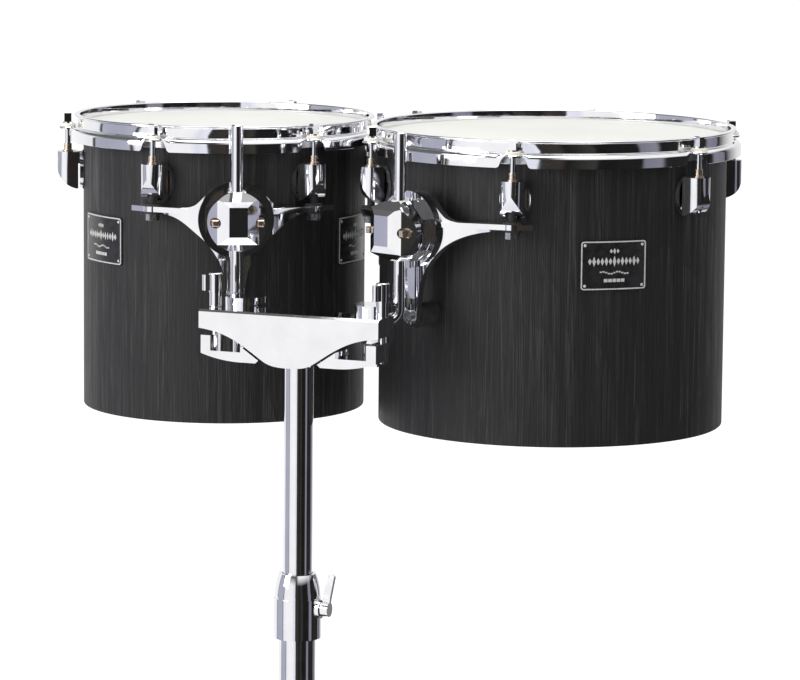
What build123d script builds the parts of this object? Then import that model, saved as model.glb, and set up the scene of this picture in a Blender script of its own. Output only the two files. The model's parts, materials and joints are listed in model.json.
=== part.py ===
from build123d import *
import math
import os

# A pair of single-headed concert toms on a double holder and a folding tripod stand.
# Millimetres. +Z is up, the floor is z = 0 and the pole stands on the Z axis.
# The players' side is +Y, the holder's polished face looks along -Y.

INCH = 25.4

# --- Stand heights and radii ---
YOKE_TOP = 750.0            # top of the holder above the floor
UPPER_TUBE_R = 12.7
LOWER_TUBE_R = 15.9
TUBE_WALL = 1.5
UPPER_TUBE_BOTTOM = 330.0
LOWER_TUBE_BOTTOM = 46.0
LOWER_TUBE_TOP = 516.0
COLLAR_TOP = 524.0
COLLAR_SEAM = 504.0
COLLAR_BOTTOM = 468.0
COLLAR_BOLT_Z = 494.0
COLLAR_BOLT_R = 3.0
COLLAR_BOSS_X = 22.6

# --- Tripod: three legs, equal-length braces, one runner ---
LEG_PIVOT_R = 32.0
LEG_PIVOT_Z = 380.0
LEG_ANGLE = 40.0            # from the vertical, stand open
BRACE_LENGTH = 150.0        # pivot to pivot, the same along leg and brace
FOOT_R = 14.0
FOOT_FLAT = 13.0               # foot's centre above its flat underside
LEG_WIDTH = 22.0
LEG_WALL = 2.0
LEG_BACK = 10.0             # outside of the channel's web from the pivot line
LEG_FRONT = 8.0             # edge of the channel's sides from the pivot line
PIVOT_PIN_R = 2.5
PIN_CLEARANCE = 0.06
RUNNER_SLOT = 20.0          # travel of the brace pin in the runner's slots
RUNNER_HALF = 17.0
CLEVIS_HALF = 7.5
LEG_DIRECTIONS = {"rear": 90.0, "left": 210.0, "right": 330.0}
LEG_LENGTH = (LEG_PIVOT_Z - FOOT_FLAT) / math.cos(math.radians(LEG_ANGLE))
RUNNER_Z = LEG_PIVOT_Z - 2 * BRACE_LENGTH * math.cos(math.radians(LEG_ANGLE))

# --- Holder ---
YOKE_HALF = 83.0
YOKE_FACE_Y = -24.0
YOKE_DEPTH = 34.0
YOKE_END_HEIGHT = 16.0
YOKE_V_DEPTH = 46.0
YOKE_FACE_WALL = 7.0
JAW_TOP = YOKE_TOP - 22.0
JAW_BAR_TOP = YOKE_TOP - 35.0
JAW_BOTTOM = YOKE_TOP - 43.5
JAW_END = 81.0
JAW_WINDOW = (44.0, 72.0)   # inner and outer side of the opening in each jaw
JAW_DEPTH = 29.0
HUB_R = 18.5
WING_BOLT_X = 77.5
WING_BOLT_Y = -2.0
WING_BOLT_R = 2.5
BALL_X = 61.0
BALL_Y = 23.0
BALL_Z = YOKE_TOP - 7.0
BALL_R = 10.0
SEAT_R = 12.0
SOCKET_GAP = 8.8            # half the height of the slot that the rod's leg swings in
SOCKET_R = 18.0
SOCKET_WAIST_R = 14.2          # the socket's edge where the rod passes it
FIT = 0.05                  # radial running clearance

# --- L-rods ---
ROD_R = 5.25
ROD_X = 76.0
ROD_Y = 38.0
ROD_TOP = YOKE_TOP + 153.0
ROD_BEND_R = 9.0

# --- Drums ---
SHELL_HEIGHT = 10 * INCH
SHELL_WALL = 7.5
SHELL_BOTTOM = YOKE_TOP - 114.5
ROD_OFFSET = 42.0           # rod axis to the shell's outside
DRUMS = {
    "left": {"side": -1, "radius": 5 * INCH, "turn": 28.5},
    "right": {"side": 1, "radius": 6 * INCH, "turn": -21.5},
}
LUG_COUNT = 6
ROD_CIRCLE = 14.0           # tension rods outside the shell
LUG_Z = 212.5
LUG_HALF = 16.5
LUG_REACH = 24.0
LUG_WIDTH = 21.0
LUG_WALL = 2.0
SCREW_SPREAD = 9.0
LUG_SCREW_R = 2.0
LUG_BOSS_BOTTOM = -9.5      # from the lug's middle
FLANGE_Z = 249.0            # underside of the hoop's middle flange
FLANGE_T = 2.2
RIM_Z = 262.6
KEY_HEAD = 6.4
TENSION_R = 2.5
FILM_BOTTOM = 243.0         # lower edge of the head's collar
FLESH_HOOP_BOTTOM = 242.0
HOOP_SKIRT_BOTTOM = 239.5
HOOP_OUTSIDE = 12.5         # skirt outside the shell
HOOP_INSIDE = 10.3
BADGE_Z = 156.3
BADGE_ANGLE = 62.0
BADGE_W = 60.0
BADGE_H = 43.0
CLAMP_Z = 184.0
CLAMP_HALF = 26.0
CLAMP_BOLT_X = 19.5
CLAMP_BOLT_R = 2.5
CAP_REACH = 23.0            # rod axis to the clamp's front face
SLEEVE_R = 8.0
SLEEVE_HALF = 25.5
BRACKET_TOP = 192.4
BRACKET_FLANGE = 4.6
BRACKET_PLATE = 6.0
BRACKET_REACH = 28.0        # outside of the bowed plate from the shell
POST_BOLT_R = 2.5
RING_R = 33.0
RING_HOLE_R = 27.6
ARM_TIP_Z = 109.0
ARM_TIP_HALF = 7.2
TONGUE = 19.0               # thin end of each arm past its post


def write_piece(node, piece, place=Location()):
    """Label one finished piece, put it in its place and write its STEP file."""
    placed = piece.part.moved(place)
    placed.label = node
    export_step(placed, f"parts/{node}.step")


# ---------------------------------------------------------------- drum shell and head

def build_shell(radius):
    with BuildPart() as shell:
        with BuildSketch():
            Circle(radius)
            Circle(radius - SHELL_WALL, mode=Mode.SUBTRACT)
        extrude(amount=SHELL_HEIGHT)
        rims = shell.edges().filter_by(GeomType.CIRCLE).group_by(Axis.Z)
        top_edges = rims[-1].sort_by(SortBy.RADIUS)
        chamfer(top_edges[-1], length=2.0)
        chamfer(top_edges[0], length=4.0)
        fillet(rims[0], radius=1.5)
        for offset in (-SCREW_SPREAD, SCREW_SPREAD):
            with Locations((0, 0, LUG_Z + offset)):
                with PolarLocations(radius, LUG_COUNT):
                    Cylinder(2.6, 30, rotation=(0, 90, 0), mode=Mode.SUBTRACT)
        with Locations((0, -radius, ARM_TIP_Z)):
            Cylinder(2.8, 30, rotation=(90, 0, 0), mode=Mode.SUBTRACT)
    return shell


def build_head_film(radius):
    over = radius + 0.8
    with BuildPart() as film:
        with BuildSketch(Plane.XZ):
            with BuildLine():
                Polyline(
                    (0, SHELL_HEIGHT + 0.05),
                    (radius - 1.9, SHELL_HEIGHT + 0.05),
                    (radius + 0.2, SHELL_HEIGHT - 2.0),
                    (radius + 0.2, FILM_BOTTOM),
                    (over, FILM_BOTTOM),
                    (over, SHELL_HEIGHT - 1.8),
                    (radius - 1.6, SHELL_HEIGHT + 0.7),
                    (0, SHELL_HEIGHT + 0.7),
                    close=True,
                )
            make_face()
        revolve(axis=Axis.Z)
    return film


def build_flesh_hoop(radius):
    with BuildPart() as hoop:
        with BuildSketch(Plane.XY.offset(FLESH_HOOP_BOTTOM)):
            Circle(radius + 2.9)
            Circle(radius + 0.8, mode=Mode.SUBTRACT)
        extrude(amount=FLANGE_Z - FLESH_HOOP_BOTTOM)
        fillet(hoop.edges().group_by(Axis.Z)[0], radius=0.5)
    return hoop


def build_counterhoop(radius):
    """Triple-flanged hoop: rolled rim, flat flange with ears, and a turned-down skirt."""
    skirt_height = FLANGE_Z - HOOP_SKIRT_BOTTOM
    flange_top = FLANGE_Z + FLANGE_T
    shoulder = 1.7
    with BuildPart() as hoop:
        with BuildSketch(Plane.XZ):
            with BuildLine():
                Polyline(
                    (radius + 1.0, FLANGE_Z),
                    (radius + HOOP_INSIDE, FLANGE_Z),
                    (radius + HOOP_INSIDE, HOOP_SKIRT_BOTTOM),
                    (radius + HOOP_OUTSIDE, HOOP_SKIRT_BOTTOM),
                    (radius + HOOP_OUTSIDE, flange_top - shoulder),
                )
                RadiusArc(
                    (radius + HOOP_OUTSIDE, flange_top - shoulder),
                    (radius + HOOP_OUTSIDE - shoulder, flange_top), -shoulder,
                )
                Polyline(
                    (radius + HOOP_OUTSIDE - shoulder, flange_top),
                    (radius + 5.2, flange_top),
                    (radius + 5.2, RIM_Z - 2.2),
                    (radius + 8.0, RIM_Z - 2.2),
                    (radius + 8.0, RIM_Z),
                    (radius + 3.0, RIM_Z),
                    (radius + 3.0, flange_top),
                    (radius + 1.0, flange_top),
                    (radius + 1.0, FLANGE_Z),
                )
            make_face()
        revolve(axis=Axis.Z)
        with Locations((0, 0, HOOP_SKIRT_BOTTOM - 1)):
            with PolarLocations(radius + ROD_CIRCLE - 1.5, LUG_COUNT):
                Box(
                    6, 19, skirt_height + 1,
                    align=(Align.CENTER, Align.CENTER, Align.MIN),
                    mode=Mode.SUBTRACT,
                )
        with BuildSketch(Plane.XY.offset(FLANGE_Z)):
            with PolarLocations(radius + ROD_CIRCLE, LUG_COUNT):
                Circle(7.8)
        extrude(amount=FLANGE_T)
        with BuildSketch(Plane.XY.offset(FLANGE_Z)):
            with PolarLocations(radius + ROD_CIRCLE, LUG_COUNT):
                Circle(TENSION_R + 0.6)
        extrude(amount=FLANGE_T, mode=Mode.SUBTRACT)
        rim_edges = hoop.edges().filter_by(GeomType.CIRCLE).group_by(Axis.Z)[-1]
        fillet(rim_edges, radius=0.9)
    return hoop


# ---------------------------------------------------------------- lugs and tuning parts
# A lug is drawn about its own place: x runs outward from the shell, z = 0 at mid height.

def lug_shield_block(reach, half_width, drop, rise):
    """Quarter-disc side view crossed with a round-nosed plan."""
    shoulder = reach - half_width + 0.4
    with BuildPart() as block:
        with BuildSketch(Plane.XZ):
            with BuildLine():
                Polyline((0, -drop), (0, rise), (reach, rise), (reach, 5.0))
                ThreePointArc((reach, 5.0), (reach - 4.5, -8.5), (reach - 17.0, -drop))
                Line((reach - 17.0, -drop), (0, -drop))
            make_face()
        extrude(amount=half_width, both=True)
        with BuildSketch(Plane.XY.offset(-drop)):
            with BuildLine():
                Polyline(
                    (shoulder, -half_width), (0, -half_width), (0, half_width),
                    (shoulder, half_width),
                )
                ThreePointArc((shoulder, half_width), (reach, 0), (shoulder, -half_width))
            make_face()
        extrude(amount=drop + rise, mode=Mode.INTERSECT)
    return block


def build_lugs(radius):
    outer = lug_shield_block(LUG_REACH, LUG_WIDTH / 2, LUG_HALF, LUG_HALF)
    inner = lug_shield_block(
        LUG_REACH - LUG_WALL, LUG_WIDTH / 2 - LUG_WALL, LUG_HALF - LUG_WALL, LUG_HALF + 4
    )
    with BuildPart() as lug:
        add(outer.part)
        add(inner.part, mode=Mode.SUBTRACT)
        with Locations((2.5, 0, 0)):
            Box(5, LUG_WIDTH + 2, 3 * LUG_HALF, mode=Mode.SUBTRACT)
        with BuildSketch(Plane.YZ.offset(-2.5)):
            Ellipse(13.5, LUG_HALF)
        extrude(amount=6.0)
        with BuildSketch(Plane.XY.offset(LUG_HALF - 11.0)):
            with Locations((11.5, 0)):
                Rectangle(23, 9)
        extrude(amount=11.0)
        with BuildSketch(Plane.XY.offset(LUG_BOSS_BOTTOM)):
            with Locations((ROD_CIRCLE, 0)):
                Circle(5.6)
        extrude(amount=LUG_HALF - LUG_BOSS_BOTTOM)
        with Locations((-radius, 0, 0)):
            Cylinder(radius + 1.0, 60, mode=Mode.SUBTRACT)
        with BuildSketch(Plane.XY.offset(LUG_HALF)):
            with Locations((ROD_CIRCLE, 0)):
                Circle(3.7)
        extrude(amount=-15.5, mode=Mode.SUBTRACT)
        with BuildSketch(Plane.XY.offset(-LUG_HALF - 1)):
            with Locations((ROD_CIRCLE, 0)):
                Circle(3.6)
        extrude(amount=LUG_HALF + 1 + LUG_BOSS_BOTTOM, mode=Mode.SUBTRACT)
        with BuildSketch(Plane.XY.offset(LUG_BOSS_BOTTOM - 1)):
            with Locations((ROD_CIRCLE, 0)):
                Circle(2.55)
        extrude(amount=9.0, mode=Mode.SUBTRACT)
        for offset in (-SCREW_SPREAD, SCREW_SPREAD):
            with Locations((0, 0, offset)):
                Cylinder(2.05, 6.6, rotation=(0, 90, 0), mode=Mode.SUBTRACT)
    with BuildPart() as lugs:
        with Locations((0, 0, LUG_Z)):
            with PolarLocations(radius, LUG_COUNT):
                add(lug.part)
    return lugs


def build_lug_gaskets(radius):
    with BuildPart() as gasket:
        with BuildSketch(Plane.YZ.offset(-3)):
            Ellipse(14.5, LUG_HALF + 1)
        extrude(amount=8.0)
        with Locations((-radius, 0, 0)):
            Cylinder(radius + 1.0, 60, mode=Mode.INTERSECT)
            Cylinder(radius, 60, mode=Mode.SUBTRACT)
        for offset in (-SCREW_SPREAD, SCREW_SPREAD):
            with Locations((0, 0, offset)):
                Cylinder(2.3, 20, rotation=(0, 90, 0), mode=Mode.SUBTRACT)
    with BuildPart() as gaskets:
        with Locations((0, 0, LUG_Z)):
            with PolarLocations(radius, LUG_COUNT):
                add(gasket.part)
    return gaskets


def build_lug_screws(radius):
    head_face = -SHELL_WALL - 0.6
    with BuildPart() as screw:
        with BuildSketch(Plane.XY):
            with BuildLine():
                Polyline(
                    (head_face - 3.2, 0), (head_face - 3.2, 3.6), (head_face - 1.2, 3.6),
                    (head_face - 1.2, 5.5), (head_face, 5.5), (head_face, 2.0),
                    (3.2, 2.0), (3.2, 0), close=True,
                )
            make_face()
        revolve(axis=Axis.X)
    with BuildPart() as screws:
        for offset in (-SCREW_SPREAD, SCREW_SPREAD):
            with Locations((0, 0, LUG_Z + offset)):
                with PolarLocations(radius, LUG_COUNT):
                    add(screw.part)
    return screws


def build_swivel_nuts(radius):
    lug_top = LUG_Z + LUG_HALF
    with BuildPart() as nuts:
        with BuildSketch(Plane.XY.offset(lug_top - 15)):
            with PolarLocations(radius + ROD_CIRCLE, LUG_COUNT):
                Circle(3.5)
                Circle(TENSION_R + 0.05, mode=Mode.SUBTRACT)
        extrude(amount=22)
        with BuildSketch(Plane.XY.offset(lug_top)):
            with PolarLocations(radius + ROD_CIRCLE, LUG_COUNT):
                Circle(4.6)
                Circle(TENSION_R + 0.05, mode=Mode.SUBTRACT)
        extrude(amount=1.2)
    return nuts


def build_tension_rods(radius):
    washer_top = FLANGE_Z + FLANGE_T + 2.8
    with BuildPart() as rods:
        with BuildSketch(Plane.XY.offset(LUG_Z + 3.5)):
            with PolarLocations(radius + ROD_CIRCLE, LUG_COUNT):
                Circle(TENSION_R)
        extrude(amount=washer_top - LUG_Z - 3.5)
        with BuildSketch(Plane.XY.offset(washer_top)):
            with PolarLocations(radius + ROD_CIRCLE, LUG_COUNT):
                Circle(5.0)
        extrude(amount=1.4)
        with BuildSketch(Plane.XY.offset(washer_top + 1.4)):
            with PolarLocations(radius + ROD_CIRCLE, LUG_COUNT):
                Rectangle(KEY_HEAD, KEY_HEAD)
        extrude(amount=8.8)
        chamfer(rods.edges().group_by(Axis.Z)[-1], length=0.8)
    return rods


def build_rod_washers(radius):
    with BuildPart() as washers:
        with BuildSketch(Plane.XY.offset(FLANGE_Z + FLANGE_T)):
            with PolarLocations(radius + ROD_CIRCLE, LUG_COUNT):
                Circle(6.8)
                Circle(TENSION_R + 0.3, mode=Mode.SUBTRACT)
        extrude(amount=2.8)
        chamfer(washers.edges().group_by(Axis.Z)[-1], length=0.5)
    return washers


# ---------------------------------------------------------------- badges

def build_badges(radius):
    with BuildPart() as plate:
        with BuildSketch(Plane.YZ):
            RectangleRounded(BADGE_W, BADGE_H, 3)
        extrude(amount=radius + 10)
        Cylinder(radius + 1.2, 100, mode=Mode.INTERSECT)
        Cylinder(radius, 100, mode=Mode.SUBTRACT)
    with BuildPart() as badges:
        for angle in (-90 - BADGE_ANGLE, -90 + BADGE_ANGLE):
            with Locations(Location((0, 0, BADGE_Z), (0, 0, angle))):
                add(plate.part)
    return badges


# ---------------------------------------------------------------- suspension bracket

def post_place(radius):
    """Sideways and forward distance of the lugs that carry the bracket."""
    reach = radius + ROD_CIRCLE
    return reach * math.sin(math.radians(30)), reach * math.cos(math.radians(30))


def build_bracket(radius):
    """Three-armed casting bowed round the shell, with a ring for the clamp."""
    post_x, post_y = post_place(radius)
    ring_y = radius + BRACKET_REACH
    sag = ring_y - post_y
    bow = (post_x ** 2 + sag ** 2) / (2 * sag)
    flange_bottom = BRACKET_TOP - BRACKET_FLANGE
    arm_x = post_x - 9.0
    with BuildPart() as bracket:
        with BuildSketch(Plane.XZ.offset(radius / 2)):
            with BuildLine():
                Polyline(
                    (0, ARM_TIP_Z - 7), (0, CLAMP_Z + RING_R - 1), (9, CLAMP_Z + RING_R - 3),
                    (20.4, CLAMP_Z + 26), (33, CLAMP_Z + 13),
                )
                Spline(
                    (33, CLAMP_Z + 13), (41, BRACKET_TOP + 0.9), (arm_x, BRACKET_TOP),
                    tangents=[(1, -1), (1, 0)],
                )
                Line((arm_x, BRACKET_TOP), (arm_x, flange_bottom - 1.5))
                Spline(
                    (arm_x, flange_bottom - 1.5), (36, CLAMP_Z - 11.5), (26.4, CLAMP_Z - 20),
                    (13, CLAMP_Z - 40), (ARM_TIP_HALF + 0.8, ARM_TIP_Z + 12),
                    tangents=[(-1, -0.1), (-0.1, -1)],
                )
                Polyline(
                    (ARM_TIP_HALF + 0.8, ARM_TIP_Z + 12), (ARM_TIP_HALF, ARM_TIP_Z)
                )
                ThreePointArc(
                    (ARM_TIP_HALF, ARM_TIP_Z), (5.1, ARM_TIP_Z - 5.1), (0, ARM_TIP_Z - 7)
                )
            make_face()
            mirror(about=Plane.YZ)
        extrude(amount=radius / 2 + 48)
        with Locations((0, -ring_y + bow, 0)):
            Cylinder(bow, 1000, mode=Mode.INTERSECT)
            Cylinder(bow - BRACKET_PLATE, 1000, mode=Mode.SUBTRACT)
        with BuildSketch(Plane.XZ.offset(radius + 18)):
            with Locations((0, CLAMP_Z)):
                Circle(RING_R)
        extrude(amount=14)
        with BuildSketch(Plane.XY.offset(flange_bottom)):
            with BuildLine():
                Polyline(
                    (-post_x, -post_y - 8.5), (-28, -ring_y + 1), (28, -ring_y + 1),
                    (post_x, -post_y - 8.5),
                )
                ThreePointArc(
                    (post_x, -post_y - 8.5), (post_x + 8.5, -post_y), (post_x, -post_y + 8.5)
                )
                Polyline(
                    (post_x, -post_y + 8.5), (28, -ring_y + 15), (-28, -ring_y + 15),
                    (-post_x, -post_y + 8.5),
                )
                ThreePointArc(
                    (-post_x, -post_y + 8.5), (-post_x - 8.5, -post_y), (-post_x, -post_y - 8.5)
                )
            make_face()
            for side in (-1, 1):
                with Locations(Location((side * post_x, -post_y, 0), (0, 0, side * 30))):
                    Polygon(
                        (0, -side * 8), (side * TONGUE, -side * 3.2),
                        (side * TONGUE, side * 3.2), (0, side * 8), align=None,
                    )
        extrude(amount=BRACKET_FLANGE)
        with BuildSketch(Plane.XZ.offset(radius + 10)):
            with Locations((0, CLAMP_Z)):
                Circle(RING_HOLE_R)
        extrude(amount=40, mode=Mode.SUBTRACT)
        with BuildSketch(Plane.XY.offset(flange_bottom - 1)):
            with Locations((-post_x, -post_y), (post_x, -post_y)):
                Circle(5.6)
        extrude(amount=BRACKET_FLANGE + 2, mode=Mode.SUBTRACT)
        with BuildSketch(Plane.XZ.offset(radius + 10)):
            with Locations((0, ARM_TIP_Z)):
                Circle(2.7)
        extrude(amount=30, mode=Mode.SUBTRACT)
    return bracket


def build_bracket_bushes(radius):
    """Grommets in the arms' eyes with their spacers, and the lower arm's isolator."""
    post_x, post_y = post_place(radius)
    flange_bottom = BRACKET_TOP - BRACKET_FLANGE
    with BuildPart() as bushes:
        for start, height, outside in (
            (flange_bottom - 2.0, 2.0, 7.6),
            (flange_bottom, BRACKET_FLANGE, 5.5),
            (BRACKET_TOP, 2.0, 7.6),
            (BRACKET_TOP + 2.0, LUG_Z + LUG_BOSS_BOTTOM - BRACKET_TOP - 2.0, 3.4),
        ):
            with BuildSketch(Plane.XY.offset(start)):
                with Locations((-post_x, -post_y), (post_x, -post_y)):
                    Circle(outside)
                    Circle(2.6, mode=Mode.SUBTRACT)
            extrude(amount=height)
        with BuildSketch(Plane.XZ.offset(radius - 3)):
            with Locations((0, ARM_TIP_Z)):
                Circle(10.5)
                Circle(2.6, mode=Mode.SUBTRACT)
        extrude(amount=24.3)
        with Locations((0, 0, ARM_TIP_Z)):
            Cylinder(radius, 40, mode=Mode.SUBTRACT)
    return bushes


def build_bracket_screws(radius):
    """Two lug bolts from below and the long isolator screw with its inside nut."""
    post_x, post_y = post_place(radius)
    head_top = BRACKET_TOP - BRACKET_FLANGE - 2.0
    with BuildPart() as screws:
        with BuildSketch(Plane.XY.offset(head_top)):
            with Locations((-post_x, -post_y), (post_x, -post_y)):
                Circle(2.5)
        extrude(amount=LUG_Z - 3.5 - head_top)
        with BuildSketch(Plane.XY.offset(head_top)):
            with Locations((-post_x, -post_y), (post_x, -post_y)):
                RegularPolygon(6.0, 6)
        extrude(amount=-6.0)
        with BuildSketch(Plane.XZ.offset(radius - SHELL_WALL - 0.6)):
            with Locations((0, ARM_TIP_Z)):
                Circle(2.5)
        extrude(amount=SHELL_WALL + 28.8)
        with BuildSketch(Plane.XZ.offset(radius + 28.2)):
            with Locations((0, ARM_TIP_Z)):
                Circle(5.2)
        extrude(amount=3.4)
        with BuildSketch(Plane.XZ.offset(radius - SHELL_WALL - 0.6)):
            with Locations((0, ARM_TIP_Z)):
                RegularPolygon(5.5, 6)
        extrude(amount=-4.0)
    return screws


# ---------------------------------------------------------------- rod clamp

def octagon(half):
    corner = half * math.tan(math.radians(22.5))
    return [
        (half, corner), (corner, half), (-corner, half), (-half, corner),
        (-half, -corner), (-corner, -half), (corner, -half), (half, -corner),
    ]


def build_clamp_body(radius):
    """The half of the ball-shaped clamp that sits in the bracket's ring."""
    rod_y = radius + ROD_OFFSET
    with BuildPart() as body:
        with BuildSketch(Plane.XZ.offset(radius + 14)):
            with Locations((0, CLAMP_Z)):
                Circle(RING_HOLE_R)
        extrude(amount=18.5)
        fillet(body.edges().group_by(Axis.Y)[-1], radius=6.0)
        with BuildSketch(Plane.XZ.offset(radius + 32.5)):
            with Locations((0, CLAMP_Z)):
                Polygon(*octagon(CLAMP_HALF), align=None)
        extrude(amount=rod_y - 0.4 - radius - 32.5)
        with Locations((0, -rod_y, CLAMP_Z)):
            Cylinder(SLEEVE_R + FIT, 80, mode=Mode.SUBTRACT)
        with BuildSketch(Plane.XZ.offset(radius + 24)):
            with Locations((-CLAMP_BOLT_X, CLAMP_Z), (CLAMP_BOLT_X, CLAMP_Z)):
                Circle(2.6)
        extrude(amount=30, mode=Mode.SUBTRACT)
    return body


def build_clamp_cap(radius):
    """The outer half: a disc at the seam, then upright facets closing to a narrow face."""
    rod_y = radius + ROD_OFFSET
    seam = rod_y + 0.4
    shoulder = rod_y + 6.0
    middle = rod_y + 17.0
    front = rod_y + CAP_REACH
    with BuildPart() as cap:
        with BuildSketch(Plane.XZ.offset(seam)):
            with Locations((0, CLAMP_Z)):
                Circle(CLAMP_HALF)
        extrude(amount=front - seam)
        with BuildSketch(Plane.XY.offset(CLAMP_Z - CLAMP_HALF)):
            Polygon(
                (-CLAMP_HALF, -seam), (-CLAMP_HALF, -shoulder), (-18, -middle), (-8, -front),
                (8, -front), (18, -middle), (CLAMP_HALF, -shoulder), (CLAMP_HALF, -seam),
                align=None,
            )
        extrude(amount=2 * CLAMP_HALF, mode=Mode.INTERSECT)
        with BuildSketch(Plane.YZ):
            with Locations((0, CLAMP_Z)):
                Polygon(
                    (-seam, CLAMP_HALF), (-shoulder, CLAMP_HALF), (-front + 3, 18.5),
                    (-front, 14), (-front, -12), (-front + 5, -18.5),
                    (-shoulder, -CLAMP_HALF), (-seam, -CLAMP_HALF), align=None,
                )
        extrude(amount=CLAMP_HALF, both=True, mode=Mode.INTERSECT)
        with Locations((0, -rod_y, CLAMP_Z)):
            Cylinder(SLEEVE_R + FIT, 80, mode=Mode.SUBTRACT)
        with BuildSketch(Plane.XZ.offset(rod_y)):
            with Locations((-CLAMP_BOLT_X, CLAMP_Z), (CLAMP_BOLT_X, CLAMP_Z)):
                Circle(2.6)
        extrude(amount=30, mode=Mode.SUBTRACT)
        with BuildSketch(Plane.XZ.offset(rod_y + 9.4)):
            with Locations((-CLAMP_BOLT_X, CLAMP_Z), (CLAMP_BOLT_X, CLAMP_Z)):
                Circle(4.6)
        extrude(amount=30, mode=Mode.SUBTRACT)
    return cap


def build_clamp_bolts(radius):
    rod_y = radius + ROD_OFFSET
    with BuildPart() as bolts:
        with BuildSketch(Plane.XZ.offset(radius + 24.5)):
            with Locations((-CLAMP_BOLT_X, CLAMP_Z), (CLAMP_BOLT_X, CLAMP_Z)):
                Circle(2.5)
        extrude(amount=rod_y + 9.4 - radius - 24.5)
        with BuildSketch(Plane.XZ.offset(rod_y + 9.4)):
            with Locations((-CLAMP_BOLT_X, CLAMP_Z), (CLAMP_BOLT_X, CLAMP_Z)):
                Circle(4.4)
        extrude(amount=1.6)
        with BuildSketch(Plane.XZ.offset(rod_y + 11.0)):
            with Locations((-CLAMP_BOLT_X, CLAMP_Z), (CLAMP_BOLT_X, CLAMP_Z)):
                Rectangle(5.6, 5.6)
        extrude(amount=8.0)
        chamfer(bolts.edges().group_by(Axis.Y)[0], length=0.7)
    return bolts


def build_rod_sleeve(radius):
    with BuildPart() as sleeve:
        with Locations((0, -radius - ROD_OFFSET, CLAMP_Z)):
            Cylinder(SLEEVE_R, 2 * SLEEVE_HALF)
            Cylinder(ROD_R + FIT, 2 * SLEEVE_HALF, mode=Mode.SUBTRACT)
        chamfer(sleeve.edges().group_by(Axis.Z)[-1].sort_by(SortBy.RADIUS)[-1], length=1.0)
    return sleeve


def build_drum(name, side, radius, turn):
    """Write every piece of one drum and give back its axis in the row's frame."""
    reach = radius + ROD_OFFSET
    angle = math.radians(turn)
    axis_x = side * ROD_X - reach * math.sin(angle)
    axis_y = ROD_Y + reach * math.cos(angle)
    place = Location((axis_x, axis_y, SHELL_BOTTOM), (0, 0, turn))
    write_piece(f"{name}_shell", build_shell(radius), place)
    write_piece(f"{name}_head_film", build_head_film(radius), place)
    write_piece(f"{name}_flesh_hoop", build_flesh_hoop(radius), place)
    write_piece(f"{name}_counterhoop", build_counterhoop(radius), place)
    write_piece(f"{name}_lugs", build_lugs(radius), place)
    write_piece(f"{name}_lug_gaskets", build_lug_gaskets(radius), place)
    write_piece(f"{name}_lug_screws", build_lug_screws(radius), place)
    write_piece(f"{name}_swivel_nuts", build_swivel_nuts(radius), place)
    write_piece(f"{name}_tension_rods", build_tension_rods(radius), place)
    write_piece(f"{name}_rod_washers", build_rod_washers(radius), place)
    write_piece(f"{name}_badges", build_badges(radius), place)
    write_piece(f"{name}_bracket", build_bracket(radius), place)
    write_piece(f"{name}_bracket_bushes", build_bracket_bushes(radius), place)
    write_piece(f"{name}_bracket_screws", build_bracket_screws(radius), place)
    write_piece(f"{name}_clamp_body", build_clamp_body(radius), place)
    write_piece(f"{name}_clamp_cap", build_clamp_cap(radius), place)
    write_piece(f"{name}_clamp_bolts", build_clamp_bolts(radius), place)
    write_piece(f"{name}_rod_sleeve", build_rod_sleeve(radius), place)
    return axis_x, axis_y


# ---------------------------------------------------------------- rods, balls and seats

def leg_direction(side):
    """From the ball to the foot of the rod, level."""
    span = math.hypot(ROD_X - BALL_X, ROD_Y - BALL_Y)
    return side * (ROD_X - BALL_X) / span, (ROD_Y - BALL_Y) / span


def build_l_rod(side):
    foot = (side * ROD_X, ROD_Y, BALL_Z)
    ball = (side * BALL_X, BALL_Y, BALL_Z)
    with BuildPart() as rod:
        with BuildLine():
            FilletPolyline((side * ROD_X, ROD_Y, ROD_TOP), foot, ball, radius=ROD_BEND_R)
        with BuildSketch(Plane((side * ROD_X, ROD_Y, ROD_TOP), z_dir=(0, 0, -1))):
            Circle(ROD_R)
        sweep()
        with Locations(ball):
            Sphere(BALL_R)
        chamfer(rod.edges().group_by(Axis.Z)[-1], length=0.9)
    return rod


def build_ball_seat(side):
    dir_x, dir_y = leg_direction(side)
    slot_plane = Plane(
        origin=(side * BALL_X, BALL_Y, BALL_Z), x_dir=(-dir_y, dir_x, 0), z_dir=(dir_x, dir_y, 0)
    )
    with BuildPart() as seat:
        with Locations((side * BALL_X, BALL_Y, BALL_Z)):
            Sphere(SEAT_R)
            Sphere(BALL_R + FIT, mode=Mode.SUBTRACT)
        with BuildSketch(slot_plane):
            Rectangle(2 * (ROD_R + 0.4), 2 * (ROD_R + 2.9))
        extrude(amount=SEAT_R + 2, mode=Mode.SUBTRACT)
    return seat


# ---------------------------------------------------------------- holder

def yoke_lower_edge():
    """Right half of the face's lower edge, from the end to the middle."""
    return [
        (YOKE_HALF, YOKE_TOP - YOKE_END_HEIGHT),
        (62.0, YOKE_TOP - 20.0),
        (44.0, YOKE_TOP - 28.0),
        (26.0, YOKE_TOP - 39.5),
        (0.0, YOKE_TOP - YOKE_V_DEPTH),
    ]


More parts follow.
